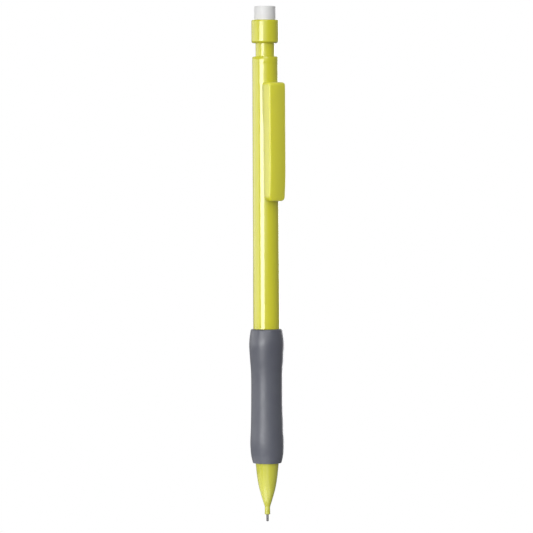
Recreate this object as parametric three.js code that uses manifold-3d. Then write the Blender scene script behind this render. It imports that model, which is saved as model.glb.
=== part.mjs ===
// Push-button mechanical pencil for 0.7 mm lead, standing on its writing point.
// Millimetres. +Z runs up the pencil's axis, the origin is the lead's tip, and the pocket clip faces -Y.
import * as THREE from 'three';
import { mergeVertices } from 'three/addons/utils/BufferGeometryUtils.js';
import Module from 'manifold-3d';

// ---------------------------------------------------------------- driving dimensions
const SIDES = 32; // facets round every turned piece
const SLIP = 0.05; // radial clearance between pieces that fit into one another
const GAP = 0.3; // room left where one piece rests on another

const LEAD_R = 0.35;
const LEAD_LENGTH = 60;
const LEAD_SIDES = 12;
const LEAD_OUT = 2.04; // lead that stands out of the tip

const TIP_R = 0.81; // lead guide at the very tip
const TIP_BORE_R = 0.42;
const CONE_TOP = 17.2; // where the nose cone meets the barrel
const CONE_TOP_R = 3.4;
const SPIGOT_R = 2.7; // the part of the nose cone that plugs into the barrel
const SPIGOT_TOP = 26;
const CHAMBER_R = 2.2; // room for the chuck inside the nose cone

const RETAINER_BOTTOM = 8.5;
const RETAINER_HEIGHT = 2;
const RETAINER_R = 1.3;

const BARREL_BOTTOM = CONE_TOP + SLIP;
const BARREL_TOP = 133.45;
const GRIP_SEAT_R = 3.45; // thinner front stretch that carries the rubber grip
const GRIP_SEAT_TOP = 56.15;
const BARREL_R_LOW = 3.86; // outside, just above the grip
const BARREL_R_HIGH = 3.77; // outside, at the top
const BARREL_BORE_FRONT_R = SPIGOT_R + SLIP;
const BARREL_BORE_R = 3.05;
const BUSH_SEAT_R = 3.13;
const BUSH_SEAT_BOTTOM = 118.5;

const GRIP_BOTTOM = 17.05;
const GRIP_TOP = 56.1;
const GRIP_LIP = 0.45; // rounding of the grip's two ends

const JAW_COUNT = 3;
const JAW_BOTTOM = 16.6;
const JAW_HEAD_TOP = 18.4;
const JAW_TOP = 26;
const JAW_HEAD_R = 1.75;
const JAW_STEM_R = 1.15;
const JAW_BORE_R = 0.42;
const JAW_SLOT = 0.3;

const RING_BOTTOM = JAW_HEAD_TOP + GAP;
const RING_TOP = 20.3;
const RING_R = 2.1;
const RING_BORE_R = 1.45;

const SLEEVE_BOTTOM = RING_TOP + GAP;
const SLEEVE_TOP = 34.5;
const SLEEVE_R = CHAMBER_R - SLIP;
const SLEEVE_FLANGE_R = SPIGOT_R;
const SLEEVE_FLANGE_BOTTOM = SPIGOT_TOP + GAP;
const SLEEVE_WALL = 1; // front wall that the spring pushes against
const SLEEVE_HOLE_R = 1.4;
const SLEEVE_BORE_R = 1.85;

const CHUCK_TUBE_BOTTOM = JAW_TOP + GAP;
const CHUCK_TUBE_TOP = 42;
const CHUCK_TUBE_BORE_R = 0.5;

const SEAT_BOTTOM = 38.5; // flange of the lead funnel, pushed up by the spring
const SEAT_TOP = 39.8;
const SEAT_R = 2.3;
const FUNNEL_TOP = 46.5;
const FUNNEL_R = 1.7;
const FUNNEL_MOUTH_R = 1.45;
const FUNNEL_THROAT_TOP = 44;

const SPRING_WIRE_R = 0.14;
const SPRING_MEAN_R = 1.5;
const SPRING_TURNS = 11;
const SPRING_BOTTOM = SLEEVE_BOTTOM + SLEEVE_WALL + GAP;
const SPRING_TOP = SEAT_BOTTOM - GAP;
const SPRING_STEPS_PER_TURN = 12;
const SPRING_HALF_SIDES = 3; // facets round half of the wire

const TUBE_BOTTOM = SEAT_TOP + GAP; // lead reservoir
const TUBE_TOP = 138;
const TUBE_R = 2.15;
const TUBE_BORE_R = FUNNEL_R + SLIP;

const SPARE_LEADS = 2;
const SPARE_LEAD_OFFSET = 1.08;
const SPARE_LEAD_BOTTOM = FUNNEL_TOP + GAP;

const STEM_R = 2.78; // neck of the push button
const STEM_BOTTOM = 122.9;
const STOP_TOP = 125.7; // collar that keeps the button in the pencil
const STOP_R = 3.05;
const CAP_BOTTOM = 139.3;
const CAP_TOP = 146;
const CAP_R = 3.98;
const CAP_FOOT_CHAMFER = 0.75;
const CAP_EDGE = 0.3;
const ERASER_R = 3.1;
const ERASER_BOTTOM = 141.3;
const ERASER_TOP = 150;
const ERASER_EDGE = 0.25;

const BUSH_BOTTOM = STOP_TOP + GAP;
const BUSH_TOP = 135.4;
const BUSH_FLANGE_R = 3.79;
const BUSH_EDGE = 0.4;

const CLIP_WIDTH = 5.65;
const CLIP_BOTTOM = 93.4;
const CLIP_TOP = 127.85;
const CLIP_FACE = 6.55; // outer face of the clip, from the axis
const CLIP_WEB = 1.8; // thickness of the arm between its two side walls
const CLIP_WALL = 0.9;
const CLIP_ROOT_BOTTOM = 119.3; // the clip is solid above this
const CLIP_CHANNEL_TOP = 114; // and a channel of even depth below this
const CLIP_HEEL = 2.2; // rounding of the side walls at the arm's lower end
const CLIP_TOP_CORNER = 1.2;
const CLIP_BOTTOM_CORNER = 1.35;
const CLIP_EDGE = 0.4;
const CLIP_SPLIT = 119; // where the clip bends
const CLIP_BUMP_HEIGHT = 0.4;
const CLIP_BUMP_BOTTOM = 94.4;
const CLIP_BUMP_LENGTH = 2.4;
const FOOT_WIDTH = 2; // peg that holds the clip in the barrel wall
const FOOT_BOTTOM = 121;
const FOOT_TOP = 125;
const FOOT_INNER = 3.25;

// ---------------------------------------------------------------- colours
const YELLOW_GREEN = 0xc9cb2e;
const GREY_RUBBER = 0x6f747b;
const WHITE_VINYL = 0xe9e9e4;
const GRAPHITE = 0x55575b;
const BRASS = 0xc9a654;
const STEEL = 0xb9bcc0;
const NATURAL_PLASTIC = 0xdfe0dc;
const BLACK_RUBBER = 0x2b2c2e;

// ---------------------------------------------------------------- solids
const wasm = await Module();
wasm.setup();

function signedVolume(position, index) {
  const corners = [new THREE.Vector3(), new THREE.Vector3(), new THREE.Vector3()];
  let volume = 0;
  for (let i = 0; i < index.length; i += 3) {
    corners.forEach((corner, k) => corner.fromBufferAttribute(position, index[i + k]));
    volume += corners[0].dot(corners[1].clone().cross(corners[2])) / 6;
  }
  return volume;
}

// A geometry as a closed solid: corners shared, slivers dropped, faces turned outwards.
function solid(geometry) {
  const bare = geometry.clone();
  bare.deleteAttribute('normal');
  bare.deleteAttribute('uv');
  const welded = mergeVertices(bare, 1e-4);
  const index = welded.index.array;
  const kept = [];
  for (let i = 0; i < index.length; i += 3) {
    const [a, b, c] = [index[i], index[i + 1], index[i + 2]];
    if (a !== b && b !== c && c !== a) kept.push(a, b, c);
  }
  const position = welded.getAttribute('position');
  if (signedVolume(position, kept) < 0) kept.reverse();
  return new wasm.Manifold(new wasm.Mesh({
    numProp: 3,
    vertProperties: new Float32Array(position.array),
    triVerts: new Uint32Array(kept),
  }));
}

function geometryOf(manifold) {
  const mesh = manifold.getMesh();
  const geometry = new THREE.BufferGeometry();
  geometry.setAttribute('position', new THREE.BufferAttribute(mesh.vertProperties, 3));
  geometry.setIndex(new THREE.BufferAttribute(mesh.triVerts, 1));
  geometry.computeVertexNormals();
  return geometry;
}

// A closed outline of [radius, height] points turned round the pencil's axis.
function turned(outline, sides = SIDES) {
  const points = outline.map(([radius, height]) => new THREE.Vector2(radius, height));
  const onAxis = points[0].x === 0 && points.at(-1).x === 0;
  if (!onAxis) points.push(points[0].clone());
  const geometry = new THREE.LatheGeometry(points, sides);
  geometry.rotateX(Math.PI / 2);
  return solid(geometry);
}

// Points of an arc in the [radius, height] plane; angles in degrees, 0 outwards and 90 up.
function arc(radius, height, size, from, to, steps = 4) {
  const points = [];
  for (let i = 0; i <= steps; i++) {
    const angle = THREE.MathUtils.degToRad(from + ((to - from) * i) / steps);
    points.push([radius + size * Math.cos(angle), height + size * Math.sin(angle)]);
  }
  return points;
}

// Points of a smooth curve through a few [radius, height] points.
function smooth(through, steps) {
  const curve = new THREE.SplineCurve(through.map(([x, y]) => new THREE.Vector2(x, y)));
  return curve.getPoints(steps).map((point) => [point.x, point.y]);
}

function tube(outer, bore, bottom, top) {
  return turned([[bore, bottom], [outer, bottom], [outer, top], [bore, top]]);
}

function rod(size, bottom, top) {
  return turned([[0, bottom], [size, bottom], [size, top], [0, top]]);
}

function block(width, depth, bottom, top, x, y) {
  const geometry = new THREE.BoxGeometry(width, depth, top - bottom);
  geometry.translate(x, y, (top + bottom) / 2);
  return solid(geometry);
}

// ---------------------------------------------------------------- front end
function noseCone() {
  const ogive = smooth([[0.77, 4.25], [1.43, 6.2], [2.38, 9.7], [2.97, 13.2], [CONE_TOP_R, CONE_TOP]], 11);
  const retainerTop = RETAINER_BOTTOM + RETAINER_HEIGHT;
  const seatR = RETAINER_R + SLIP;
  return turned([
    [TIP_BORE_R, LEAD_OUT],
    [TIP_R - 0.1, LEAD_OUT],
    [TIP_R, LEAD_OUT + 0.1],
    ...ogive,
    [SPIGOT_R, CONE_TOP],
    [SPIGOT_R, SPIGOT_TOP],
    [CHAMBER_R, SPIGOT_TOP],
    [CHAMBER_R, 13.2],
    [seatR + 0.15, retainerTop + 1],
    [seatR, retainerTop + 0.5],
    [seatR, RETAINER_BOTTOM - SLIP],
    [TIP_BORE_R, RETAINER_BOTTOM - SLIP],
  ]);
}

function leadRetainer() {
  const bore = LEAD_R + 0.03;
  const top = RETAINER_BOTTOM + RETAINER_HEIGHT;
  return turned([
    [bore, RETAINER_BOTTOM],
    [RETAINER_R, RETAINER_BOTTOM],
    [RETAINER_R, top],
    [bore + 0.5, top],
    [bore, top - 0.6],
  ]);
}

function clutchRing() {
  const edge = 0.15;
  return turned([
    [RING_BORE_R, RING_BOTTOM],
    [RING_R - edge, RING_BOTTOM],
    [RING_R, RING_BOTTOM + edge],
    [RING_R, RING_TOP - edge],
    [RING_R - edge, RING_TOP],
    [RING_BORE_R, RING_TOP],
  ]);
}

function mechanismSleeve() {
  const flangeTop = SLEEVE_FLANGE_BOTTOM + 1;
  return turned([
    [SLEEVE_HOLE_R, SLEEVE_BOTTOM],
    [SLEEVE_R, SLEEVE_BOTTOM],
    [SLEEVE_R, SLEEVE_FLANGE_BOTTOM],
    [SLEEVE_FLANGE_R, SLEEVE_FLANGE_BOTTOM],
    [SLEEVE_FLANGE_R, flangeTop],
    [SLEEVE_R, flangeTop],
    [SLEEVE_R, SLEEVE_TOP],
    [SLEEVE_BORE_R, SLEEVE_TOP],
    [SLEEVE_BORE_R, SLEEVE_BOTTOM + SLEEVE_WALL],
    [SLEEVE_HOLE_R, SLEEVE_BOTTOM + SLEEVE_WALL],
  ]);
}

// ---------------------------------------------------------------- chuck
// One jaw is a third of a turned collet, less half a slot on each side.
function chuckJaw(number) {
  const collet = turned([
    [JAW_BORE_R, JAW_BOTTOM],
    [1.3, JAW_BOTTOM],
    [JAW_HEAD_R, JAW_BOTTOM + 0.5],
    [JAW_HEAD_R, JAW_HEAD_TOP - 0.5],
    [JAW_STEM_R, JAW_HEAD_TOP],
    [JAW_STEM_R, JAW_TOP],
    [0.6, JAW_TOP],
    [0.6, JAW_HEAD_TOP + 0.6],
    [JAW_BORE_R, JAW_HEAD_TOP],
  ]);
  const half = Math.PI / JAW_COUNT;
  const reach = 2 * JAW_HEAD_R;
  const apex = JAW_SLOT / 2 / Math.sin(half);
  const wedge = new THREE.Shape([
    new THREE.Vector2(apex, 0),
    new THREE.Vector2(apex + reach * Math.cos(half), reach * Math.sin(half)),
    new THREE.Vector2(apex + reach, 0),
    new THREE.Vector2(apex + reach * Math.cos(half), -reach * Math.sin(half)),
  ]);
  const geometry = new THREE.ExtrudeGeometry(wedge, { depth: JAW_TOP - JAW_BOTTOM + 2, bevelEnabled: false });
  geometry.translate(0, 0, JAW_BOTTOM - 1);
  geometry.rotateZ(-Math.PI / 2 + (number * 2 * Math.PI) / JAW_COUNT);
  return collet.intersect(solid(geometry));
}

function chuckTube() {
  return tube(JAW_STEM_R, CHUCK_TUBE_BORE_R, CHUCK_TUBE_BOTTOM, CHUCK_TUBE_TOP);
}

function leadFunnel() {
  const socketR = JAW_STEM_R + SLIP;
  const socketTop = CHUCK_TUBE_TOP + GAP;
  return turned([
    [socketR, SEAT_BOTTOM],
    [SEAT_R, SEAT_BOTTOM],
    [SEAT_R, SEAT_TOP],
    [FUNNEL_R, SEAT_TOP],
    [FUNNEL_R, FUNNEL_TOP],
    [FUNNEL_MOUTH_R, FUNNEL_TOP],
    [CHUCK_TUBE_BORE_R, FUNNEL_THROAT_TOP],
    [CHUCK_TUBE_BORE_R, socketTop],
    [socketR, socketTop],
  ]);
}

class Helix extends THREE.Curve {
  getPoint(t, target = new THREE.Vector3()) {
    const angle = 2 * Math.PI * SPRING_TURNS * t;
    const height = SPRING_BOTTOM + SPRING_WIRE_R + (SPRING_TOP - SPRING_BOTTOM - 2 * SPRING_WIRE_R) * t;
    return target.set(SPRING_MEAN_R * Math.cos(angle), SPRING_MEAN_R * Math.sin(angle), height);
  }
}

function returnSpring() {
  const section = new THREE.Shape();
  section.absarc(0, 0, SPRING_WIRE_R, 0, 2 * Math.PI);
  const geometry = new THREE.ExtrudeGeometry(section, {
    steps: SPRING_TURNS * SPRING_STEPS_PER_TURN,
    curveSegments: SPRING_HALF_SIDES,
    extrudePath: new Helix(),
  });
  return solid(geometry);
}

// ---------------------------------------------------------------- leads and reservoir
function lead(bottom) {
  const face = LEAD_R * 0.6;
  return turned([
    [0, bottom],
    [face, bottom],
    [LEAD_R, bottom + 0.14],
    [LEAD_R, bottom + LEAD_LENGTH],
    [0, bottom + LEAD_LENGTH],
  ], LEAD_SIDES);
}

function spareLead(number) {
  const angle = Math.PI / 6 + (number * 2 * Math.PI) / 3;
  const x = SPARE_LEAD_OFFSET * Math.cos(angle);
  const y = SPARE_LEAD_OFFSET * Math.sin(angle);
  return lead(SPARE_LEAD_BOTTOM).translate([x, y, 0]);
}

function leadTube() {
  return tube(TUBE_R, TUBE_BORE_R, TUBE_BOTTOM, TUBE_TOP);
}

// ---------------------------------------------------------------- body
function barrelRadius(height) {
  const share = (height - GRIP_SEAT_TOP) / (BARREL_TOP - GRIP_SEAT_TOP);
  return THREE.MathUtils.lerp(BARREL_R_LOW, BARREL_R_HIGH, share);
}

function barrel() {
  const shell = turned([
    [BARREL_BORE_FRONT_R, BARREL_BOTTOM],
    [GRIP_SEAT_R - 0.15, BARREL_BOTTOM],
    [GRIP_SEAT_R, BARREL_BOTTOM + 0.3],
    [GRIP_SEAT_R, GRIP_SEAT_TOP],
    [BARREL_R_LOW, GRIP_SEAT_TOP],
    [BARREL_R_HIGH, BARREL_TOP],
    [BUSH_SEAT_R, BARREL_TOP],
    [BUSH_SEAT_R, BUSH_SEAT_BOTTOM],
    [BARREL_BORE_R, BUSH_SEAT_BOTTOM - 0.5],
    [BARREL_BORE_R, 58.5],
    [BARREL_BORE_FRONT_R, 57.5],
  ]);
  const slot = block(FOOT_WIDTH + 2 * GAP, 3, FOOT_BOTTOM - GAP, FOOT_TOP + GAP, 0, -3.9);
  return shell.subtract(slot);
}

function barrelEndBush() {
  const bore = STEM_R + SLIP;
  const bodyR = BUSH_SEAT_R - SLIP;
  const flangeBottom = BARREL_TOP + SLIP;
  return turned([
    [bore, BUSH_BOTTOM],
    [bodyR, BUSH_BOTTOM],
    [bodyR, flangeBottom],
    [BUSH_FLANGE_R, flangeBottom],
    ...arc(BUSH_FLANGE_R - BUSH_EDGE, BUSH_TOP - BUSH_EDGE, BUSH_EDGE, 0, 90),
    [bore, BUSH_TOP],
  ]);
}

function rubberGrip() {
  const bore = GRIP_SEAT_R + SLIP;
  const side = smooth([
    [4.26, GRIP_BOTTOM + GRIP_LIP],
    [4.77, 20.1],
    [4.9, 23],
    [4.72, 27.5],
    [4.58, 35],
    [4.58, 43],
    [4.89, 47.9],
    [5.08, 51.4],
    [4.94, 53.8],
    [4.62, GRIP_TOP - GRIP_LIP],
  ], 24);
  return turned([
    [bore, GRIP_BOTTOM],
    [3.95, GRIP_BOTTOM],
    ...side,
    [4.2, GRIP_TOP],
    [bore, GRIP_TOP],
  ]);
}

// ---------------------------------------------------------------- push button and eraser
function pushButton() {
  const tubeSocketR = TUBE_R + SLIP;
  const tubeSocketTop = TUBE_TOP + GAP;
  const socketR = ERASER_R + SLIP;
  return turned([
    [tubeSocketR, STEM_BOTTOM],
    [STOP_R, STEM_BOTTOM],
    [STOP_R, STOP_TOP],
    [STEM_R, STOP_TOP],
    [STEM_R, CAP_BOTTOM],
    ...arc(CAP_R - CAP_FOOT_CHAMFER, CAP_BOTTOM + CAP_FOOT_CHAMFER, CAP_FOOT_CHAMFER, -90, 0),
    ...arc(CAP_R - CAP_EDGE, CAP_TOP - CAP_EDGE, CAP_EDGE, 0, 90),
    [socketR, CAP_TOP],
    [socketR, ERASER_BOTTOM - GAP],
    [TUBE_BORE_R, ERASER_BOTTOM - GAP],
    [TUBE_BORE_R, tubeSocketTop],
    [tubeSocketR, tubeSocketTop],
  ]);
}

function eraser() {
  return turned([
    [0, ERASER_BOTTOM],
    [ERASER_R - ERASER_EDGE, ERASER_BOTTOM],
    [ERASER_R, ERASER_BOTTOM + ERASER_EDGE],
    ...arc(ERASER_R - ERASER_EDGE, ERASER_TOP - ERASER_EDGE, ERASER_EDGE, 0, 90),
    [0, ERASER_TOP],
  ]);
}

// ---------------------------------------------------------------- pocket clip
// Outline of the clip seen face on: X across, Y up the pencil.
function clipFace() {
  const half = CLIP_WIDTH / 2;
  const [low, high] = [CLIP_BOTTOM, CLIP_TOP];
  const [small, large] = [CLIP_TOP_CORNER, CLIP_BOTTOM_CORNER];
  const face = new THREE.Shape();
  face.moveTo(-half + large, low);
  face.lineTo(half - large, low);
  face.absarc(half - large, low + large, large, -Math.PI / 2, 0);
  face.lineTo(half, high - small);
  face.absarc(half - small, high - small, small, 0, Math.PI / 2);
  face.lineTo(-half + small, high);
  face.absarc(-half + small, high - small, small, Math.PI / 2, Math.PI);
  face.lineTo(-half, low + large);
  face.absarc(-half + large, low + large, large, Math.PI, 1.5 * Math.PI);
  return face;
}

// Outline of the clip seen from the side: X out from the pencil's axis, Y up the pencil.
function clipSide() {
  const deep = 2;
  const round = 1;
  const side = new THREE.Shape();
  side.moveTo(deep, CLIP_TOP);
  side.lineTo(deep, CLIP_BOTTOM + CLIP_HEEL);
  side.quadraticCurveTo(deep + 0.8, CLIP_BOTTOM, CLIP_FACE - CLIP_HEEL, CLIP_BOTTOM);
  side.lineTo(CLIP_FACE - 0.5, CLIP_BOTTOM);
  side.quadraticCurveTo(CLIP_FACE, CLIP_BOTTOM, CLIP_FACE, CLIP_BOTTOM + 0.5);
  side.lineTo(CLIP_FACE, CLIP_TOP - round);
  side.absarc(CLIP_FACE - round, CLIP_TOP - round, round, 0, Math.PI / 2);
  return side;
}

// The hollow under the arm, seen from the side, with a low bump across it near its lower end.
function clipChannel() {
  const roof = CLIP_FACE - CLIP_WEB;
  const bumpTop = CLIP_BUMP_BOTTOM + CLIP_BUMP_LENGTH;
  const crest = roof - 2 * CLIP_BUMP_HEIGHT;
  const hollow = new THREE.Shape();
  hollow.moveTo(1, CLIP_BOTTOM - 1);
  hollow.lineTo(roof, CLIP_BOTTOM - 1);
  hollow.lineTo(roof, CLIP_BUMP_BOTTOM);
  hollow.quadraticCurveTo(crest, (CLIP_BUMP_BOTTOM + bumpTop) / 2, roof, bumpTop);
  hollow.lineTo(roof, CLIP_CHANNEL_TOP);
  hollow.quadraticCurveTo(roof, CLIP_ROOT_BOTTOM - 0.6, BARREL_R_HIGH, CLIP_ROOT_BOTTOM);
  hollow.lineTo(1, CLIP_ROOT_BOTTOM);
  return hollow;
}

// An outline seen from the side, as a solid of that width across the pencil.
function acrossPencil(outline, width) {
  const geometry = new THREE.ExtrudeGeometry(outline, {
    depth: width,
    curveSegments: 6,
    bevelEnabled: false,
  });
  geometry.translate(0, 0, -width / 2);
  geometry.applyMatrix4(new THREE.Matrix4().set(0, 0, -1, 0, -1, 0, 0, 0, 0, 1, 0, 0, 0, 0, 0, 1));
  return solid(geometry);
}

function wholeClip() {
  const front = new THREE.ExtrudeGeometry(clipFace(), {
    depth: CLIP_FACE - 1 - 2 * CLIP_EDGE,
    curveSegments: 5,
    bevelSize: CLIP_EDGE,
    bevelOffset: -CLIP_EDGE,
    bevelThickness: CLIP_EDGE,
    bevelSegments: 3,
  });
  front.translate(0, 0, 1 + CLIP_EDGE);
  front.applyMatrix4(new THREE.Matrix4().set(1, 0, 0, 0, 0, 0, -1, 0, 0, 1, 0, 0, 0, 0, 0, 1));
  const profile = acrossPencil(clipSide(), CLIP_WIDTH + 2);
  const channel = acrossPencil(clipChannel(), CLIP_WIDTH - 2 * CLIP_WALL);
  const clearance = rod(barrelRadius(CLIP_BOTTOM) + GAP, CLIP_BOTTOM - 5, CLIP_TOP + 5);
  return solid(front).intersect(profile).subtract(channel).subtract(clearance);
}

function clipRoot() {
  const reach = 20;
  const above = block(reach, reach, CLIP_SPLIT + GAP / 2, CLIP_TOP + 5, 0, -reach / 2);
  const outer = CLIP_FACE - 1.5;
  const foot = block(FOOT_WIDTH, outer - FOOT_INNER, FOOT_BOTTOM, FOOT_TOP, 0, -(outer + FOOT_INNER) / 2);
  return wholeClip().intersect(above).add(foot);
}

function clipArm() {
  const reach = 20;
  const below = block(reach, reach, CLIP_BOTTOM - 5, CLIP_SPLIT - GAP / 2, 0, -reach / 2);
  return wholeClip().intersect(below);
}

// ---------------------------------------------------------------- assembly
const pencil = new THREE.Group();
pencil.name = 'mechanical_pencil';

function place(name, manifold, color, roughness, metalness = 0) {
  const material = new THREE.MeshStandardMaterial({ color, roughness, metalness });
  const mesh = new THREE.Mesh(geometryOf(manifold), material);
  mesh.name = name;
  pencil.add(mesh);
}

place('barrel', barrel(), YELLOW_GREEN, 0.25);
place('nose_cone', noseCone(), YELLOW_GREEN, 0.3);
place('rubber_grip', rubberGrip(), GREY_RUBBER, 0.75);
place('barrel_end_bush', barrelEndBush(), YELLOW_GREEN, 0.25);
place('clip_root', clipRoot(), YELLOW_GREEN, 0.25);
place('pocket_clip', clipArm(), YELLOW_GREEN, 0.25);
place('push_button', pushButton(), YELLOW_GREEN, 0.25);
place('eraser', eraser(), WHITE_VINYL, 0.7);
place('lead_tube', leadTube(), NATURAL_PLASTIC, 0.4);
place('lead_funnel', leadFunnel(), NATURAL_PLASTIC, 0.4);
place('chuck_tube', chuckTube(), BRASS, 0.35, 0.9);
for (let i = 0; i < JAW_COUNT; i++) {
  place(`chuck_jaw_${i + 1}`, chuckJaw(i), BRASS, 0.35, 0.9);
}
place('clutch_ring', clutchRing(), BRASS, 0.3, 0.9);
place('return_spring', returnSpring(), STEEL, 0.3, 1);
place('mechanism_sleeve', mechanismSleeve(), NATURAL_PLASTIC, 0.4);
place('lead_retainer', leadRetainer(), BLACK_RUBBER, 0.8);
place('working_lead', lead(0), GRAPHITE, 0.5);
for (let i = 0; i < SPARE_LEADS; i++) {
  place(`spare_lead_${i + 1}`, spareLead(i), GRAPHITE, 0.5);
}

export default pencil;
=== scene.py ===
"""The looks of a push-button mechanical pencil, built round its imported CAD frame.

Frame: metres, +Z up the pencil's axis, the origin at the lead's tip, the pocket clip facing -Y.
Outlines are given in millimetres as (radius, height, rounding) points and turned round the axis.
"""

import math

import bmesh
import bpy
from mathutils import Matrix, Vector


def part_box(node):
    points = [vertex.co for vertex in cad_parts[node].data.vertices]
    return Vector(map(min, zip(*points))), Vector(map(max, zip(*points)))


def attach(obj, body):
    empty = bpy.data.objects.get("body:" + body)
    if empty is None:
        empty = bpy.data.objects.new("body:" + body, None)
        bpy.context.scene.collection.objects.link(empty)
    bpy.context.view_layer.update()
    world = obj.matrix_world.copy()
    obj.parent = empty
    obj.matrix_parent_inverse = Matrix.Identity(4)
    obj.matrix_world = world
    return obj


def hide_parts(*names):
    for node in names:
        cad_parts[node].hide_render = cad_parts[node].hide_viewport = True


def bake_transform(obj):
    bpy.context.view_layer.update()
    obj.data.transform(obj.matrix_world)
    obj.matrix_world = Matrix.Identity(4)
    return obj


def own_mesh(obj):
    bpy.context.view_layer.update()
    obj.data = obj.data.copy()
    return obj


MM = 0.001
SHARP_ANGLE = math.radians(38)

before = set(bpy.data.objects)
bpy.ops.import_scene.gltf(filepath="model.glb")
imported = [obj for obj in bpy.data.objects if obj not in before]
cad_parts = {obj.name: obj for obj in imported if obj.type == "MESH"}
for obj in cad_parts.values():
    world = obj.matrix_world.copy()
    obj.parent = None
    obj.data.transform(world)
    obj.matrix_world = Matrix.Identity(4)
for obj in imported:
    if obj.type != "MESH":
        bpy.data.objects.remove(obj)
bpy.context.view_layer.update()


# ---------------------------------------------------------------- sizes from the frame
def reach(node):
    """Lowest height, highest height and outer radius of a turned CAD node, in millimetres."""
    low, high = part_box(node)
    return low.z / MM, high.z / MM, high.x / MM


# ---------------------------------------------------------------- outlines
def round_corner(before, corner, after, radius, steps=5):
    """Points of a fillet of that radius where the line before-corner-after turns."""
    to_before = (before - corner).normalized()
    to_after = (after - corner).normalized()
    half = to_before.angle(to_after) / 2
    # the fillet takes less than half of either line
    cut = min(
        radius / math.tan(half),
        0.49 * (before - corner).length,
        0.49 * (after - corner).length,
    )
    size = cut * math.tan(half)
    centre = corner + (to_before + to_after).normalized() * size / math.sin(half)
    start = corner + to_before * cut - centre
    end = corner + to_after * cut - centre
    sweep = start.angle_signed(end)
    points = []
    for step in range(steps + 1):
        turn = Matrix.Rotation(-sweep * step / steps, 2)
        points.append(centre + turn @ start)
    return points


def rounded(outline, closed=True):
    """An outline of (x, y) or (x, y, rounding) points, with its corners rounded."""
    corners = [Vector(point[:2]) for point in outline]
    radii = [point[2] if len(point) > 2 else 0 for point in outline]
    count = len(corners)
    points = []
    for i, corner in enumerate(corners):
        at_end = not closed and i in (0, count - 1)
        if radii[i] <= 0 or at_end:
            points.append(corner)
            continue
        points += round_corner(corners[i - 1], corner, corners[(i + 1) % count], radii[i])
    return points


def smooth(through, steps=6):
    """A Catmull-Rom curve through a few points, with that many steps between neighbours."""
    knots = [Vector(point) for point in through]
    knots.insert(0, 2 * knots[0] - knots[1])
    knots.append(2 * knots[-1] - knots[-2])
    points = []
    for a, b, c, d in zip(knots, knots[1:], knots[2:], knots[3:]):
        for step in range(steps):
            t = step / steps
            linear = (c - a) * t
            square = (2 * a - 5 * b + 4 * c - d) * t * t
            cube = (3 * b - a - 3 * c + d) * t * t * t
            points.append((2 * b + linear + square + cube) / 2)
    points.append(knots[-2])
    return [tuple(point) for point in points]


def ease(value, low, high):
    """0 below low, 1 above high, and a smooth step between."""
    t = min(1, max(0, (value - low) / (high - low)))
    return t * t * (3 - 2 * t)


# ---------------------------------------------------------------- meshes
def add_ring(mesh_data, rings, places):
    """A new ring of vertices at those places, which are in millimetres."""
    rings.append([mesh_data.verts.new(Vector(place) * MM) for place in places])


def cap_ends(mesh_data, rings):
    """Flat faces on the first and the last ring."""
    mesh_data.faces.new(rings[0])
    mesh_data.faces.new(rings[-1])


def finish_mesh(name, mesh_data, material):
    """An object from a bmesh, smooth shaded with its real edges kept."""
    bmesh.ops.recalc_face_normals(mesh_data, faces=mesh_data.faces)
    mesh = bpy.data.meshes.new(name)
    mesh_data.to_mesh(mesh)
    mesh_data.free()
    mesh.shade_smooth()
    mesh.set_sharp_from_angle(angle=SHARP_ANGLE)
    mesh.materials.append(material)
    piece = bpy.data.objects.new(name, mesh)
    bpy.context.scene.collection.objects.link(piece)
    weighted = piece.modifiers.new("even_shading", "WEIGHTED_NORMAL")
    weighted.keep_sharp = True
    return piece


def skin_rings(mesh_data, rings, loop=False):
    """Faces between neighbouring rings of vertices. A ring of one vertex is a pole."""
    pairs = list(zip(rings, rings[1:]))
    if loop:
        pairs.append((rings[-1], rings[0]))
    for low, high in pairs:
        count = max(len(low), len(high))
        for i in range(count):
            j = (i + 1) % count
            if len(low) == 1:
                corners = [low[0], high[j], high[i]]
            elif len(high) == 1:
                corners = [low[i], low[j], high[0]]
            else:
                corners = [low[i], low[j], high[j], high[i]]
            mesh_data.faces.new(corners)


def turned(name, outline, material, segments=128):
    """A piece turned round the pencil's axis from an outline in millimetres."""
    on_axis = outline[0][0] == 0 and outline[-1][0] == 0
    mesh_data = bmesh.new()
    rings = []
    for radius, height in rounded(outline, closed=not on_axis):
        count = segments if radius > 0 else 1
        angles = [2 * math.pi * i / count for i in range(count)]
        places = [(radius * math.cos(a), radius * math.sin(a), height) for a in angles]
        add_ring(mesh_data, rings, places)
    skin_rings(mesh_data, rings, loop=not on_axis)
    return finish_mesh(name, mesh_data, material)


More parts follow.
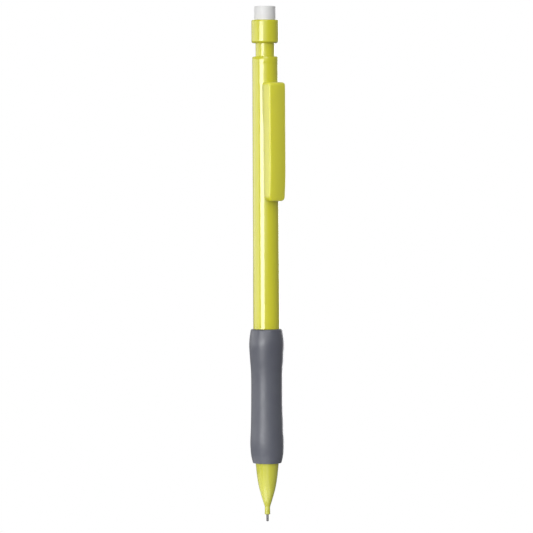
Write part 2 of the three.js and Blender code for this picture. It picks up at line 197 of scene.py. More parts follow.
# ---------------------------------------------------------------- material nodes
class Look:
    """A Principled material with a few short ways to add procedural detail."""

    def __init__(self, name, **constants):
        self.material = bpy.data.materials.new(name)
        self.material.use_nodes = True
        self.tree = self.material.node_tree
        self.shader = self.tree.nodes["Principled BSDF"]
        for socket, value in constants.items():
            self.shader.inputs[socket.replace("_", " ")].default_value = value
        self.coordinates = self.tree.nodes.new("ShaderNodeTexCoord").outputs["Object"]
        self.normal = None

    def link(self, output, socket):
        self.tree.links.new(output, socket)

    def noise(self, size, detail=2, stretch=(1, 1, 1), roughness=0.5):
        """Noise with features about that many millimetres across, stretched along an axis."""
        mapping = self.tree.nodes.new("ShaderNodeMapping")
        mapping.inputs["Scale"].default_value = [1 / s for s in stretch]
        self.link(self.coordinates, mapping.inputs["Vector"])
        texture = self.tree.nodes.new("ShaderNodeTexNoise")
        texture.inputs["Scale"].default_value = 1 / (size * MM)
        texture.inputs["Detail"].default_value = detail
        texture.inputs["Roughness"].default_value = roughness
        self.link(mapping.outputs["Vector"], texture.inputs["Vector"])
        return texture.outputs["Fac"]

    def remap(self, value, low, high, start=0.35, end=0.65):
        """A value between start and end, mapped to low and high."""
        node = self.tree.nodes.new("ShaderNodeMapRange")
        node.inputs["From Min"].default_value = start
        node.inputs["From Max"].default_value = end
        node.inputs["To Min"].default_value = low
        node.inputs["To Max"].default_value = high
        self.link(value, node.inputs["Value"])
        return node.outputs["Result"]

    def add(self, value, *more):
        """The sum of outputs and numbers, of which the first is an output."""
        for term in more:
            node = self.tree.nodes.new("ShaderNodeMath")
            node.operation = "ADD"
            self.link(value, node.inputs[0])
            if isinstance(term, float):
                node.inputs[1].default_value = term
            else:
                self.link(term, node.inputs[1])
            value = node.outputs["Value"]
        return value

    def mix(self, factor, first, second):
        """A colour between two, each a colour or an output."""
        node = self.tree.nodes.new("ShaderNodeMix")
        node.data_type = "RGBA"
        self.link(factor, node.inputs["Factor"])
        sockets = [socket for socket in node.inputs if socket.type == "RGBA"]
        for socket, colour in zip(sockets, (first, second)):
            if isinstance(colour, tuple):
                socket.default_value = (*colour, 1)
            else:
                self.link(colour, socket)
        return next(socket for socket in node.outputs if socket.type == "RGBA")

    def colour(self, output):
        self.link(output, self.shader.inputs["Base Color"])

    def roughness(self, output):
        self.link(output, self.shader.inputs["Roughness"])

    def bump(self, height, depth):
        """Adds relief of that depth in millimetres to what is there already."""
        node = self.tree.nodes.new("ShaderNodeBump")
        node.inputs["Strength"].default_value = 1
        node.inputs["Distance"].default_value = depth * MM
        self.link(height, node.inputs["Height"])
        if self.normal is not None:
            self.link(self.normal, node.inputs["Normal"])
        self.normal = node.outputs["Normal"]
        self.link(self.normal, self.shader.inputs["Normal"])


def moulded_plastic(name, colour, deep_colour, rough=0.1, glow=0.0):
    """Glossy moulded plastic: slow drift of colour, fine flow lines and a faint orange peel."""
    look = Look(
        name,
        IOR=1.69,
        Subsurface_Weight=glow,
        Subsurface_Radius=(1, 1, 0.3),
        Subsurface_Scale=3.5 * MM,
    )
    cloud = look.noise(14, detail=3, stretch=(1, 1, 3))
    fine = look.noise(0.6, detail=4)
    look.colour(look.mix(look.remap(cloud, 0, 1), colour, deep_colour))
    scuffs = look.noise(0.5, detail=5, stretch=(1, 1, 14), roughness=0.7)
    haze = look.remap(fine, 0, 0.04)
    streaks = look.remap(scuffs, 0, 0.1, start=0.55, end=0.8)
    look.roughness(look.add(haze, streaks, rough))
    look.bump(look.noise(6, detail=1, stretch=(1, 1, 6)), 0.005)
    look.bump(look.noise(0.9, detail=2), 0.0012)
    return look.material


def soft_rubber(name, colour, pale_colour):
    """Matte moulded rubber: fine grain, a little dust in the hollows and a soft bloom."""
    look = Look(name, IOR=1.6, Sheen_Weight=0.02, Sheen_Roughness=0.4)
    blotches = look.noise(6, detail=4)
    grains = look.noise(0.12, detail=3)
    base = look.mix(look.remap(blotches, 0, 1), colour, pale_colour)
    specks = look.remap(grains, 0, 0.22, start=0.62, end=0.8)
    look.colour(look.mix(specks, base, pale_colour))
    look.roughness(look.remap(look.noise(2.5, detail=3), 0.29, 0.41))
    look.bump(look.noise(4, detail=1), 0.02)
    look.bump(grains, 0.006)
    return look.material


def vinyl(name, colour, shade_colour):
    """Eraser vinyl: nearly white, softly mottled, with the fine drag lines of extrusion."""
    look = Look(name, IOR=1.6)
    mottle = look.noise(1.6, detail=4)
    look.colour(look.mix(look.remap(mottle, 0, 1, start=0.3, end=0.75), colour, shade_colour))
    look.roughness(look.remap(look.noise(0.8, detail=3), 0.4, 0.52))
    look.bump(look.noise(0.5, detail=3, stretch=(1, 1, 9)), 0.006)
    look.bump(look.noise(0.1, detail=2), 0.003)
    return look.material


def graphite(name):
    """Polymer-bound pencil lead: dark grey with a dull metallic sheen and drawing lines."""
    look = Look(name, IOR=1.9, Metallic=0.35)
    lines = look.noise(0.09, detail=3, stretch=(1, 1, 12))
    look.colour(look.mix(look.remap(lines, 0, 1), (0.12, 0.118, 0.122), (0.19, 0.187, 0.19)))
    look.roughness(look.remap(look.noise(0.15, detail=3), 0.34, 0.5))
    look.bump(lines, 0.004)
    return look.material


def machined_metal(name, colour, tarnish, rough):
    """Turned metal: fine tool rings round the axis, and a little tarnish in patches."""
    look = Look(name, Metallic=1.0)
    patches = look.noise(1.2, detail=4)
    look.colour(look.mix(look.remap(patches, 0, 1, start=0.4, end=0.8), colour, tarnish))
    rings = look.noise(0.05, detail=2, stretch=(60, 60, 1))
    look.roughness(look.remap(rings, rough - 0.05, rough + 0.1))
    look.bump(rings, 0.002)
    return look.material


YELLOW_GREEN = (0.55, 0.53, 0.022)
DEEP_YELLOW_GREEN = (0.53, 0.52, 0.018)

barrel_plastic = moulded_plastic("barrel_plastic", YELLOW_GREEN, DEEP_YELLOW_GREEN)
# Painted shade and painted reflection: the cone is the barrel's yellow-green plastic, drawn
# darker as painted shade and bluer as a painted reflection.
cone_plastic_painted_shade_and_reflection = moulded_plastic(
    "cone_plastic_painted_shade_and_reflection", (0.455, 0.45, 0.046), (0.44, 0.44, 0.041), rough=0.16
)
# Painted light: the clip is the barrel's yellow-green plastic, drawn lighter so that its face
# looks more brightly lit; its subsurface glow is real translucency.
clip_plastic_painted_light = moulded_plastic(
    "clip_plastic_painted_light", (0.62, 0.6, 0.04), (0.6, 0.59, 0.035), rough=0.28, glow=0.5
)
button_plastic = moulded_plastic("button_plastic", YELLOW_GREEN, DEEP_YELLOW_GREEN, rough=0.16)
grip_rubber = soft_rubber("grip_rubber", (0.08, 0.084, 0.106), (0.09, 0.095, 0.116))
retainer_rubber = soft_rubber("retainer_rubber", (0.02, 0.02, 0.021), (0.035, 0.035, 0.036))
eraser_vinyl = vinyl("eraser_vinyl", (0.65, 0.65, 0.645), (0.615, 0.615, 0.61))
lead_graphite = graphite("lead_graphite")
natural_plastic = moulded_plastic(
    "natural_plastic", (0.72, 0.73, 0.7), (0.66, 0.67, 0.64), rough=0.3
)
brass = machined_metal("turned_brass", (0.76, 0.52, 0.17), (0.5, 0.3, 0.09), rough=0.24)
spring_steel = machined_metal("spring_wire", (0.6, 0.61, 0.62), (0.4, 0.4, 0.4), rough=0.26)


# ---------------------------------------------------------------- barrel and its end bush
barrel_bottom, barrel_top, barrel_foot_r = reach("barrel")
grip_bottom, grip_top, grip_r = reach("rubber_grip")
bush_bottom, bush_top, bush_r = reach("barrel_end_bush")
BARREL_HEAD_R = 3.77  # outside radius at the top, a little less than above the grip
GRIP_SEAT_R = 3.45
BARREL_BORE_R = 3.05
BARREL_FRONT_BORE_R = 2.75
BUSH_SEAT_R = 3.13
BUSH_SEAT_LENGTH = 15
BUSH_PLAY = 0.05  # between the bush and its seat
SEAM = 0.005  # between two pieces that meet end to end
BARREL_FOOT = grip_top + 0.03


def barrel_radius(height):
    """Outside radius of the barrel above the grip."""
    share = (height - BARREL_FOOT) / (barrel_top - BARREL_FOOT)
    return barrel_foot_r + (BARREL_HEAD_R - barrel_foot_r) * share


barrel_shell = turned(
    "barrel_shell",
    [
        (BARREL_FRONT_BORE_R, barrel_bottom, 0.1),
        (GRIP_SEAT_R, barrel_bottom, 0.15),
        (GRIP_SEAT_R, BARREL_FOOT, 0.05),
        (barrel_foot_r, BARREL_FOOT, 0.12),
        (BARREL_HEAD_R, barrel_top, 0.03),
        (BUSH_SEAT_R, barrel_top, 0.05),
        (BUSH_SEAT_R, barrel_top - BUSH_SEAT_LENGTH),
        (BARREL_BORE_R, barrel_top - BUSH_SEAT_LENGTH - 0.5),
        (BARREL_BORE_R, BARREL_FOOT + 2.2),
        (BARREL_FRONT_BORE_R, BARREL_FOOT + 1.2),
    ],
    barrel_plastic,
)

STEM_BORE_R = 2.83
end_bush = turned(
    "end_bush",
    [
        (STEM_BORE_R, bush_bottom, 0.1),
        (BUSH_SEAT_R - BUSH_PLAY, bush_bottom, 0.15),
        (BUSH_SEAT_R - BUSH_PLAY, barrel_top + SEAM),
        (bush_r, barrel_top + SEAM, 0.03),
        (bush_r, bush_top, 0.42),
        (STEM_BORE_R, bush_top, 0.12),
    ],
    barrel_plastic,
)


# ---------------------------------------------------------------- nose cone
cone_bottom, cone_shoulder_top, _ = reach("nose_cone")
CONE_TOP = barrel_bottom - 0.05
CONE_TOP_R = 3.4
SPIGOT_R = 2.7
SPIGOT_BORE_R = 2.2
GUIDE_R = 0.81  # the cone's narrow end, which guides the lead
LEAD_BORE_R = 0.42
RETAINER_BORE_R = 1.35  # seat of the rubber lead retainer
RETAINER_BOTTOM = 8.45
RETAINER_TOP = 11
cone_side = smooth(
    [
        (GUIDE_R, cone_bottom + 0.12),
        (0.79, cone_bottom + 1),
        (0.8, cone_bottom + 2.2),
        (1.4, cone_bottom + 4.16),
        (2.38, cone_bottom + 7.66),
        (2.97, cone_bottom + 11.16),
        (CONE_TOP_R, CONE_TOP),
    ]
)
nose_cone_shell = turned(
    "nose_cone_shell",
    [
        (LEAD_BORE_R, cone_bottom, 0.06),
        (GUIDE_R - 0.1, cone_bottom),
        (GUIDE_R - 0.03, cone_bottom + 0.03),
        *cone_side,
        (SPIGOT_R, CONE_TOP),
        (SPIGOT_R, cone_shoulder_top, 0.2),
        (SPIGOT_BORE_R, cone_shoulder_top, 0.1),
        (SPIGOT_BORE_R, RETAINER_TOP + 2.2),
        (1.5, RETAINER_TOP + 0.5),
        (RETAINER_BORE_R, RETAINER_TOP),
        (RETAINER_BORE_R, RETAINER_BOTTOM),
        (LEAD_BORE_R, RETAINER_BOTTOM),
    ],
    cone_plastic_painted_shade_and_reflection,
    segments=96,
)


# ---------------------------------------------------------------- rubber grip
# The side swells near the writing end, narrows for the fingers and swells again at the top.
GRIP_BORE_R = GRIP_SEAT_R + 0.02
grip_side = smooth(
    [
        (4.26, grip_bottom + 0.45),
        (4.6, grip_bottom + 1.9),
        (4.81, grip_bottom + 3.7),
        (4.9, grip_bottom + 6.2),
        (4.72, grip_bottom + 10.7),
        (4.58, grip_bottom + 18.2),
        (4.58, grip_top - 13.2),
        (4.89, grip_top - 8.3),
        (grip_r, grip_top - 4.8),
        (4.94, grip_top - 2.4),
        (4.67, grip_top - 0.5),
    ]
)
grip_sleeve = turned(
    "grip_sleeve",
    [
        (GRIP_BORE_R, grip_bottom, 0.1),
        (4.05, grip_bottom),
        (4.14, grip_bottom + 0.06),
        (4.19, grip_bottom + 0.18),
        *grip_side,
        (4.63, grip_top - 0.27),
        (4.52, grip_top - 0.09),
        (4.34, grip_top),
        (GRIP_BORE_R, grip_top, 0.1),
    ],
    grip_rubber,
)


# ---------------------------------------------------------------- push button and eraser
button_bottom, button_top, cap_r = reach("push_button")
eraser_bottom, eraser_top, eraser_r = reach("eraser")
STEM_R = 2.78
STOP_R = 3.05
STOP_TOP = bush_bottom - 0.3
CAP_BOTTOM = button_top - 6.7
ERASER_SOCKET_R = eraser_r + 0.05
ERASER_SOCKET_BOTTOM = eraser_bottom - 0.3
LEAD_TUBE_SOCKET_R = 2.2
LEAD_TUBE_SOCKET_TOP = reach("lead_tube")[1] + 0.3
LEAD_STORE_R = 1.75
push_button_moulding = turned(
    "push_button_moulding",
    [
        (LEAD_TUBE_SOCKET_R, button_bottom, 0.1),
        (STOP_R, button_bottom, 0.2),
        (STOP_R, STOP_TOP, 0.1),
        (STEM_R, STOP_TOP),
        (STEM_R, CAP_BOTTOM, 0.12),
        (cap_r, CAP_BOTTOM, 0.8),
        (cap_r, button_top, 0.32),
        (ERASER_SOCKET_R, button_top, 0.12),
        (ERASER_SOCKET_R, ERASER_SOCKET_BOTTOM),
        (LEAD_STORE_R, ERASER_SOCKET_BOTTOM),
        (LEAD_STORE_R, LEAD_TUBE_SOCKET_TOP),
        (LEAD_TUBE_SOCKET_R, LEAD_TUBE_SOCKET_TOP),
    ],
    button_plastic,
)

eraser_plug = turned(
    "eraser_plug",
    [
        (0, eraser_bottom),
        (eraser_r, eraser_bottom, 0.25),
        (eraser_r, eraser_top, 0.25),
        (0, eraser_top),
    ],
    eraser_vinyl,
)


# ---------------------------------------------------------------- pocket clip
clip_low, clip_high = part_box("pocket_clip")
CLIP_BOTTOM = clip_low.z / MM
CLIP_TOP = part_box("clip_root")[1].z / MM
CLIP_HALF = clip_high.x / MM
CLIP_FACE = -clip_low.y / MM  # how far the outer face stands from the axis
CLIP_CROWN = 0.36  # the outer face is this much lower at its edges
CLIP_EDGE = 0.45
CLIP_ROOF = CLIP_FACE - 1.8  # the arm is a channel, with its hollow side to the barrel
CLIP_WALL = 0.85  # thickness of the side walls at their foot
CLIP_DRAFT = 0.15  # how much thicker they are at the roof
CLIP_WALL_GAP = 0.3  # between the arm's side walls and the barrel
CLIP_ROOT_GAP = 0.01  # between the root and the barrel
CLIP_HEEL = 2.2  # height over which the side walls round off at the arm's lower end
CLIP_HEEL_RISE = 0.75 * CLIP_HEEL
CLIP_TOP_CORNER = 0.8
CLIP_BOTTOM_CORNER = 1.35
CLIP_TOP_ROUND = 1.0
CLIP_BOTTOM_ROUND = 0.5
CLIP_DROOP = 0.5  # how far the arm's lower end leans in
CLIP_DROOP_LENGTH = 11
CLIP_ROOT_FULL = 119.3  # the root is solid and hugs the barrel above this
CLIP_ARM_FULL = 114  # the arm is a channel of even depth below this
BUMP_MIDDLE = CLIP_BOTTOM + 2.1
BUMP_HALF_LENGTH = 1.3
BUMP_HEIGHT = 0.4
CLIP_FINE_TOP = CLIP_BOTTOM + 4  # the sections are closer together up to here, past the bump


def clip_heights():
    """Heights of the clip's sections, close together at its rounded ends and by its bump."""
    steps, fine, coarse = 12, 0.4, 0.7
    angles = [math.pi / 2 * step / steps for step in range(steps + 1)]
    low = [CLIP_BOTTOM + CLIP_BOTTOM_CORNER * (1 - math.cos(a)) for a in angles]
    high = [CLIP_TOP - CLIP_TOP_CORNER * (1 - math.sin(a)) for a in angles]
    between = []
    height = low[-1] + fine
    while height < high[0] - fine / 2:
        between.append(height)
        height += fine if height < CLIP_FINE_TOP else coarse
    return low + between + high


def corner_inset(height):
    """How much narrower the clip is near its rounded ends."""
    above = max(0, height - (CLIP_TOP - CLIP_TOP_CORNER))
    below = max(0, CLIP_BOTTOM + CLIP_BOTTOM_CORNER - height)
    inset = CLIP_TOP_CORNER - math.sqrt(max(0, CLIP_TOP_CORNER**2 - above**2))
    inset += CLIP_BOTTOM_CORNER - math.sqrt(max(0, CLIP_BOTTOM_CORNER**2 - below**2))
    return inset


def face_drop(height):
    """How much the outer face falls back near the clip's ends."""
    above = max(0, height - (CLIP_TOP - CLIP_TOP_ROUND))
    below = max(0, CLIP_BOTTOM + CLIP_BOTTOM_ROUND - height)
    drop = CLIP_TOP_ROUND - math.sqrt(max(0, CLIP_TOP_ROUND**2 - above**2))
    drop += CLIP_BOTTOM_ROUND - math.sqrt(max(0, CLIP_BOTTOM_ROUND**2 - below**2))
    lean = max(0, 1 - (height - CLIP_BOTTOM) / CLIP_DROOP_LENGTH)
    return drop + CLIP_DROOP * lean**2


def on_barrel(x, height, gap):
    """How far out the surface at that gap from the barrel lies, at that place across."""
    return math.sqrt(max(0, (barrel_radius(height) + gap) ** 2 - x * x))


def arm_share(height):
    """1 along the arm, 0 at the root, and a smooth step between."""
    return 1 - ease(height, CLIP_ARM_FULL, CLIP_ROOT_FULL)


def clip_foot(x, height):
    """The lower edge of the clip's side walls."""
    gap = CLIP_ROOT_GAP + (CLIP_WALL_GAP - CLIP_ROOT_GAP) * arm_share(height)
    heel = min(1, max(0, 1 - (height - CLIP_BOTTOM) / CLIP_HEEL))
    rise = CLIP_HEEL_RISE * (1 - math.sqrt(1 - heel**2))
    return min(CLIP_ROOF, on_barrel(x, height, gap) + rise)


def clip_roof(x, height):
    """The underside of the clip between its side walls."""
    from_bump = min(1, abs(height - BUMP_MIDDLE) / BUMP_HALF_LENGTH)
    roof = CLIP_ROOF - BUMP_HEIGHT * math.cos(math.pi / 2 * from_bump) ** 2
    solid = on_barrel(x, height, CLIP_ROOT_GAP)
    return solid + (roof - solid) * arm_share(height)


def clip_section(height):
    """The clip's outline at a height: (x, distance out) points, outer face first."""
    across, corner_steps, wall_steps, foot_steps = 14, 8, 4, 3
    half = CLIP_HALF - corner_inset(height)
    face = CLIP_FACE - face_drop(height)
    slope = math.atan(2 * CLIP_CROWN * (half - CLIP_EDGE) / CLIP_HALF**2)
    flat = half - CLIP_EDGE * (1 - math.sin(slope))
    points = []
    for i in range(across + 1):
        x = -flat + 2 * flat * i / across
        points.append((x, face - CLIP_CROWN * (x / CLIP_HALF) ** 2))
    edge_middle = points[-1][1] - CLIP_EDGE * math.cos(slope)
    for i in range(1, corner_steps + 1):
        angle = slope + (math.pi / 2 - slope) * i / corner_steps
        x = half - CLIP_EDGE * (1 - math.sin(angle))
        points.append((x, edge_middle + CLIP_EDGE * math.cos(angle)))
    wall_top = points[-1][1]
    wall_foot = clip_foot(half, height)
    for i in range(1, wall_steps + 1):
        points.append((half, wall_top + (wall_foot - wall_top) * i / wall_steps))
    for i in range(1, foot_steps + 1):
        x = half - CLIP_WALL * i / foot_steps
        points.append((x, clip_foot(x, height)))
    inner, foot = points[-1]
    roof_edge = inner - CLIP_DRAFT
    roof = clip_roof(roof_edge, height)
    for i in range(1, wall_steps + 1):
        share = i / wall_steps
        points.append((inner - CLIP_DRAFT * share, foot + (roof - foot) * share))
    mirrored = [(-x, out) for x, out in reversed(points[across + 1 :])]
    under = []
    for i in range(1, across):
        x = roof_edge * (1 - 2 * i / across)
        under.append((x, clip_roof(x, height)))
    return points + under + mirrored


def build_clip():
    """The whole clip, root and arm, as one moulding."""
    mesh_data = bmesh.new()
    rings = []
    for height in clip_heights():
        add_ring(mesh_data, rings, [(x, -out, height) for x, out in clip_section(height)])
    skin_rings(mesh_data, rings)
    cap_ends(mesh_data, rings)
    return finish_mesh("pocket_clip_moulding", mesh_data, clip_plastic_painted_light)


clip_moulding = build_clip()


# ---------------------------------------------------------------- lead and spring
lead_bottom, lead_top, lead_r = reach("working_lead")
LEAD_FLAT_R = 0.6 * lead_r  # the writing end is worn to a flat of this radius
LEAD_BEVEL = 0.14
lead_in_use = turned(
    "lead_in_use",
    [
        (0, lead_bottom),
        (LEAD_FLAT_R, lead_bottom, 0.04),
        (lead_r, lead_bottom + LEAD_BEVEL, 0.06),
        (lead_r, lead_top, 0.03),
        (0, lead_top),
    ],
    lead_graphite,
    segments=64,
)

spring_bottom, spring_top, spring_outer_r = reach("return_spring")
WIRE_R = 0.14
SPRING_TURNS = 11
WIRE_SEGMENTS = 12
SPRING_STEPS = 48


def build_spring():
    """A coil spring, as a wire swept along its helix."""
    coil_r = spring_outer_r - WIRE_R
    low, high = spring_bottom + WIRE_R, spring_top - WIRE_R
    mesh_data = bmesh.new()
    rings = []
    for step in range(SPRING_TURNS * SPRING_STEPS + 1):
        share = step / (SPRING_TURNS * SPRING_STEPS)
        angle = 2 * math.pi * SPRING_TURNS * share
        outward = Vector((math.cos(angle), math.sin(angle), 0))
        centre = outward * coil_r + Vector((0, 0, low + (high - low) * share))
        places = []
        for i in range(WIRE_SEGMENTS):
            turn = 2 * math.pi * i / WIRE_SEGMENTS
            offset = outward * math.cos(turn) + Vector((0, 0, math.sin(turn)))
            places.append(centre + offset * WIRE_R)
        add_ring(mesh_data, rings, places)
    skin_rings(mesh_data, rings)
    cap_ends(mesh_data, rings)
    return finish_mesh("return_spring_coil", mesh_data, spring_steel)


spring_coil = build_spring()


# ---------------------------------------------------------------- what moves with what
RIDES = [
    (barrel_shell, "root", "barrel", "yellow_green_plastic"),
    (end_bush, "root", "barrel_end_bush", "yellow_green_plastic"),
    (nose_cone_shell, "root", "nose_cone", "yellow_green_plastic"),
    (grip_sleeve, "root", "rubber_grip", "grey_rubber"),
    (push_button_moulding, "plunger", "push_button", "yellow_green_plastic"),
    (eraser_plug, "eraser", "eraser", "white_vinyl"),
    (lead_in_use, "lead", "working_lead", "graphite"),
    (spring_coil, "root", "return_spring", "spring_steel"),
]
for piece, body, node, slot in RIDES:
    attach(piece, body)
    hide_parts(node)

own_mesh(spring_coil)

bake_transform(clip_moulding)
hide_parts("clip_root", "pocket_clip")

KEPT_NODES = {
    "lead_tube": natural_plastic,
    "lead_funnel": natural_plastic,
    "mechanism_sleeve": natural_plastic,
    "chuck_tube": brass,
    "chuck_jaw_1": brass,
    "chuck_jaw_2": brass,
    "chuck_jaw_3": brass,
    "clutch_ring": brass,
    "lead_retainer": retainer_rubber,
    "spare_lead_1": lead_graphite,
    "spare_lead_2": lead_graphite,
}
for node, material in KEPT_NODES.items():
    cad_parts[node].material_slots[0].material = material


# ---------------------------------------------------------------- camera
VIEW_AZIMUTH = math.radians(-35)  # the camera stands to the left of the clip
toward = Vector((math.sin(VIEW_AZIMUTH), -math.cos(VIEW_AZIMUTH), 0))  # toward the camera
rightward = Vector((-toward.y, toward.x, 0))  # to the right in the camera's view
CAMERA_DISTANCE = 0.95
CAMERA_HEIGHT = 0.1
CAMERA_LENS = 220.43
CAMERA_ROLL = math.radians(-0.3)
AIM_HEIGHT = 0.07435
AIM_ASIDE = 0.00009  # how far to the right of the axis the camera aims

camera_data = bpy.data.cameras.new("camera")
camera_data.lens = CAMERA_LENS
camera_data.sensor_width = 36
camera_data.dof.use_dof = False
camera = bpy.data.objects.new("camera", camera_data)
bpy.context.scene.collection.objects.link(camera)
aim = rightward * AIM_ASIDE + Vector((0, 0, AIM_HEIGHT))
camera.location = toward * CAMERA_DISTANCE + Vector((0, 0, CAMERA_HEIGHT))
looking = (aim - camera.location).to_track_quat("-Z", "Y").to_matrix().to_4x4()
camera.rotation_euler = (looking @ Matrix.Rotation(CAMERA_ROLL, 4, "Z")).to_euler()
bpy.context.scene.camera = camera


# ---------------------------------------------------------------- light
# Angles are in degrees to the right of the camera, seen from the pencil.
LAMP_DISTANCE = 0.6
OVERHEAD_DISTANCE = 0.45


def around(angle, distance, height):
    """A place at that angle, distance from the pencil's axis and height."""
    turn = math.radians(angle)
    outward = toward * math.cos(turn) + rightward * math.sin(turn)
    return outward * distance + Vector((0, 0, height))


def softbox(name, place, width, tall, radiance, aim_height):
    """A rectangular lamp that faces the pencil. Its power follows from its radiance and area."""
    data = bpy.data.lights.new(name, "AREA")
    data.shape = "RECTANGLE"
    data.size = width
    data.size_y = tall
    data.energy = radiance * math.pi * width * tall
    lamp = bpy.data.objects.new(name, data)
    bpy.context.scene.collection.objects.link(lamp)
    lamp.location = place
    facing = Vector((0, 0, aim_height)) - place
    lamp.rotation_euler = facing.to_track_quat("-Z", "Y").to_euler()
    lamp.visible_camera = False
    return lamp


# Each lamp's name, place, width, height, radiance, and the height that it is aimed at.
softbox("key", around(-32.5, LAMP_DISTANCE, 0.105), 0.365, 0.17, 8.8, 0.105)
softbox("side", around(-94, LAMP_DISTANCE, 0.105), 0.8, 0.17, 2.0, 0.105)
softbox("front", around(14, LAMP_DISTANCE, 0.36), 0.22, 0.22, 4.2, 0.1)
softbox("rear", around(160, LAMP_DISTANCE, 0.09), 0.3, 0.3, 3.2, 0.08)
softbox("overhead", around(10, OVERHEAD_DISTANCE, 0.7), 0.45, 0.45, 1.4, 0.09)

CARD_HEIGHT = 0.0006


def bounce_card(name, angle, near_end, far_end, width, radiance):
    """A card that lies by the writing point and lights the cone from below."""
    place = around(angle, (near_end + far_end) / 2, CARD_HEIGHT)
    card = softbox(name, place, width, far_end - near_end, radiance, 0)
    outward = math.atan2(place.y, place.x)
    card.rotation_euler = (math.pi, 0, outward - math.pi / 2)


# Each card's name, angle, nearer end, further end, width and radiance.
bounce_card("bounce_side", -100, 0.006, 0.06, 0.06, 0.75)
bounce_card("bounce_key", -38, 0.008, 0.11, 0.012, 1.5)
bounce_card("bounce_front", -4, 0.006, 0.06, 0.024, 1.15)


def camera_sees(tree, shown, giving):
    """A shader that the camera sees as shown, and that lights the pencil as giving."""
    rays = tree.nodes.new("ShaderNodeLightPath")
    choose = tree.nodes.new("ShaderNodeMixShader")
    tree.links.new(rays.outputs["Is Camera Ray"], choose.inputs["Fac"])
    tree.links.new(giving.outputs[0], choose.inputs[1])
    tree.links.new(shown.outputs[0], choose.inputs[2])
    return choose.outputs[0]


# ---------------------------------------------------------------- room
# Radiance of the room by angle. A bright front and dark sides give the plastic its gradients.
ROOM = [
    (-180, 0.7),
    (-135, 0.9),
    (-110, 0.35),
    (-50, 0.25),
    (-26, 0.7),
    (-9, 2.0),
    (4, 1.4),
    (12, 0.8),
    (24, 0.32),
    (60, 0.25),
    (100, 0.3),
    (125, 0.5),
    (180, 0.7),
]
ROOM_MOST = max(radiance for angle, radiance in ROOM)


def room_level(sky):
    """The room's radiance in each direction, as a share of its most."""
    coordinates = sky.nodes.new("ShaderNodeTexCoord")
    bearing = sky.nodes.new("ShaderNodeMath")
    bearing.operation = "ARCTAN2"
    for socket, direction in zip(bearing.inputs, (rightward, toward)):
        along = sky.nodes.new("ShaderNodeVectorMath")
        along.operation = "DOT_PRODUCT"
        along.inputs[1].default_value = direction
        sky.links.new(coordinates.outputs["Generated"], along.inputs[0])
        sky.links.new(along.outputs["Value"], socket)
    turn = sky.nodes.new("ShaderNodeMapRange")
    turn.inputs["From Min"].default_value = -math.pi
    turn.inputs["From Max"].default_value = math.pi
    sky.links.new(bearing.outputs[0], turn.inputs["Value"])
    ramp = sky.nodes.new("ShaderNodeValToRGB")
    ramp.color_ramp.interpolation = "EASE"
    stops = ramp.color_ramp.elements
    while len(stops) < len(ROOM):
        stops.new(0.5)
    for stop, (angle, radiance) in zip(stops, ROOM):
        stop.position = (angle + 180) / 360
        level = radiance / ROOM_MOST
        stop.color = (level, level, level, 1)
    sky.links.new(turn.outputs["Result"], ramp.inputs["Fac"])
    return ramp.outputs["Color"]


def build_room():
    """The world: plain white to the camera, and the room's lights and darks to the pencil."""
    world = bpy.data.worlds.new("studio")
    bpy.context.scene.world = world
    world.use_nodes = True
    sky = world.node_tree
    backdrop = sky.nodes["Background"]
    backdrop.inputs["Color"].default_value = (1, 1, 1, 1)
    backdrop.inputs["Strength"].default_value = 1
    room = sky.nodes.new("ShaderNodeBackground")
    room.inputs["Strength"].default_value = ROOM_MOST
    sky.links.new(room_level(sky), room.inputs["Color"])
    surface = sky.nodes["World Output"].inputs["Surface"]
    sky.links.new(camera_sees(sky, shown=backdrop, giving=room), surface)


build_room()


# ---------------------------------------------------------------- floor
FLOOR_R = 4.0
FLOOR_HEIGHT = -0.04  # below the point, so that the lead shows when it is fed all the way out
FLOOR_NEAR = 0.12  # the floor takes shadows inside this radius
FLOOR_FAR = 0.3  # and is plain white outside this one
FLOOR_GLOW = 0.93
FLOOR_SHADE = 0.1  # how much of the floor's light can be shadowed
FLOOR_FILL = 0.27  # light that the floor gives back to the pencil


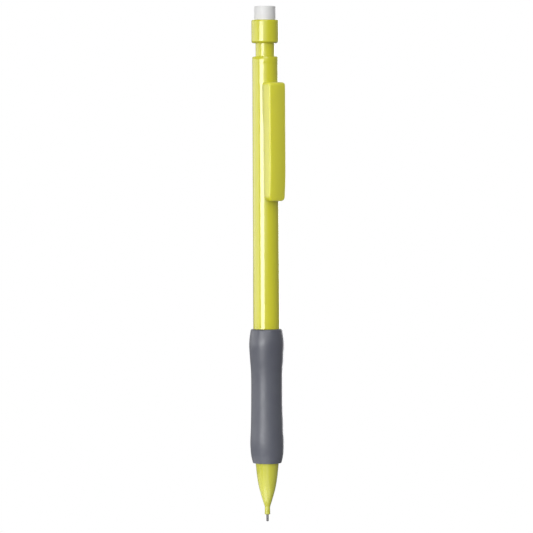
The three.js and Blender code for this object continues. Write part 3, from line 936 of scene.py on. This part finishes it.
def white_sweep():
    """Paper that takes faint shadows near the pencil and is plain white further out."""
    paper = bpy.data.materials.new("white_sweep")
    paper.use_nodes = True
    tree = paper.node_tree
    near = tree.nodes["Principled BSDF"]
    near.inputs["Base Color"].default_value = (FLOOR_SHADE, FLOOR_SHADE, FLOOR_SHADE, 1)
    near.inputs["Roughness"].default_value = 0.9
    near.inputs["Specular IOR Level"].default_value = 0.1
    near.inputs["Emission Color"].default_value = (1, 1, 1, 1)
    near.inputs["Emission Strength"].default_value = FLOOR_GLOW
    far = tree.nodes.new("ShaderNodeEmission")
    far.inputs["Strength"].default_value = 1

    place = tree.nodes.new("ShaderNodeTexCoord")
    distance = tree.nodes.new("ShaderNodeVectorMath")
    distance.operation = "LENGTH"
    tree.links.new(place.outputs["Object"], distance.inputs[0])
    fade = tree.nodes.new("ShaderNodeMapRange")
    fade.interpolation_type = "SMOOTHSTEP"
    fade.inputs["From Min"].default_value = FLOOR_NEAR
    fade.inputs["From Max"].default_value = FLOOR_FAR
    tree.links.new(distance.outputs["Value"], fade.inputs["Value"])
    sweep = tree.nodes.new("ShaderNodeMixShader")
    tree.links.new(fade.outputs["Result"], sweep.inputs["Fac"])
    tree.links.new(near.outputs[0], sweep.inputs[1])
    tree.links.new(far.outputs[0], sweep.inputs[2])

    fill = tree.nodes.new("ShaderNodeEmission")
    fill.inputs["Strength"].default_value = FLOOR_FILL
    surface = tree.nodes["Material Output"].inputs["Surface"]
    tree.links.new(camera_sees(tree, shown=sweep, giving=fill), surface)
    return paper


def build_floor():
    mesh_data = bmesh.new()
    bmesh.ops.create_circle(mesh_data, cap_ends=True, radius=FLOOR_R, segments=96)
    mesh = bpy.data.meshes.new("floor")
    mesh_data.to_mesh(mesh)
    mesh_data.free()
    mesh.materials.append(white_sweep())
    floor = bpy.data.objects.new("floor", mesh)
    floor.location.z = FLOOR_HEIGHT
    bpy.context.scene.collection.objects.link(floor)
    return floor


floor = build_floor()
bpy.context.scene.view_settings.view_transform = "Standard"
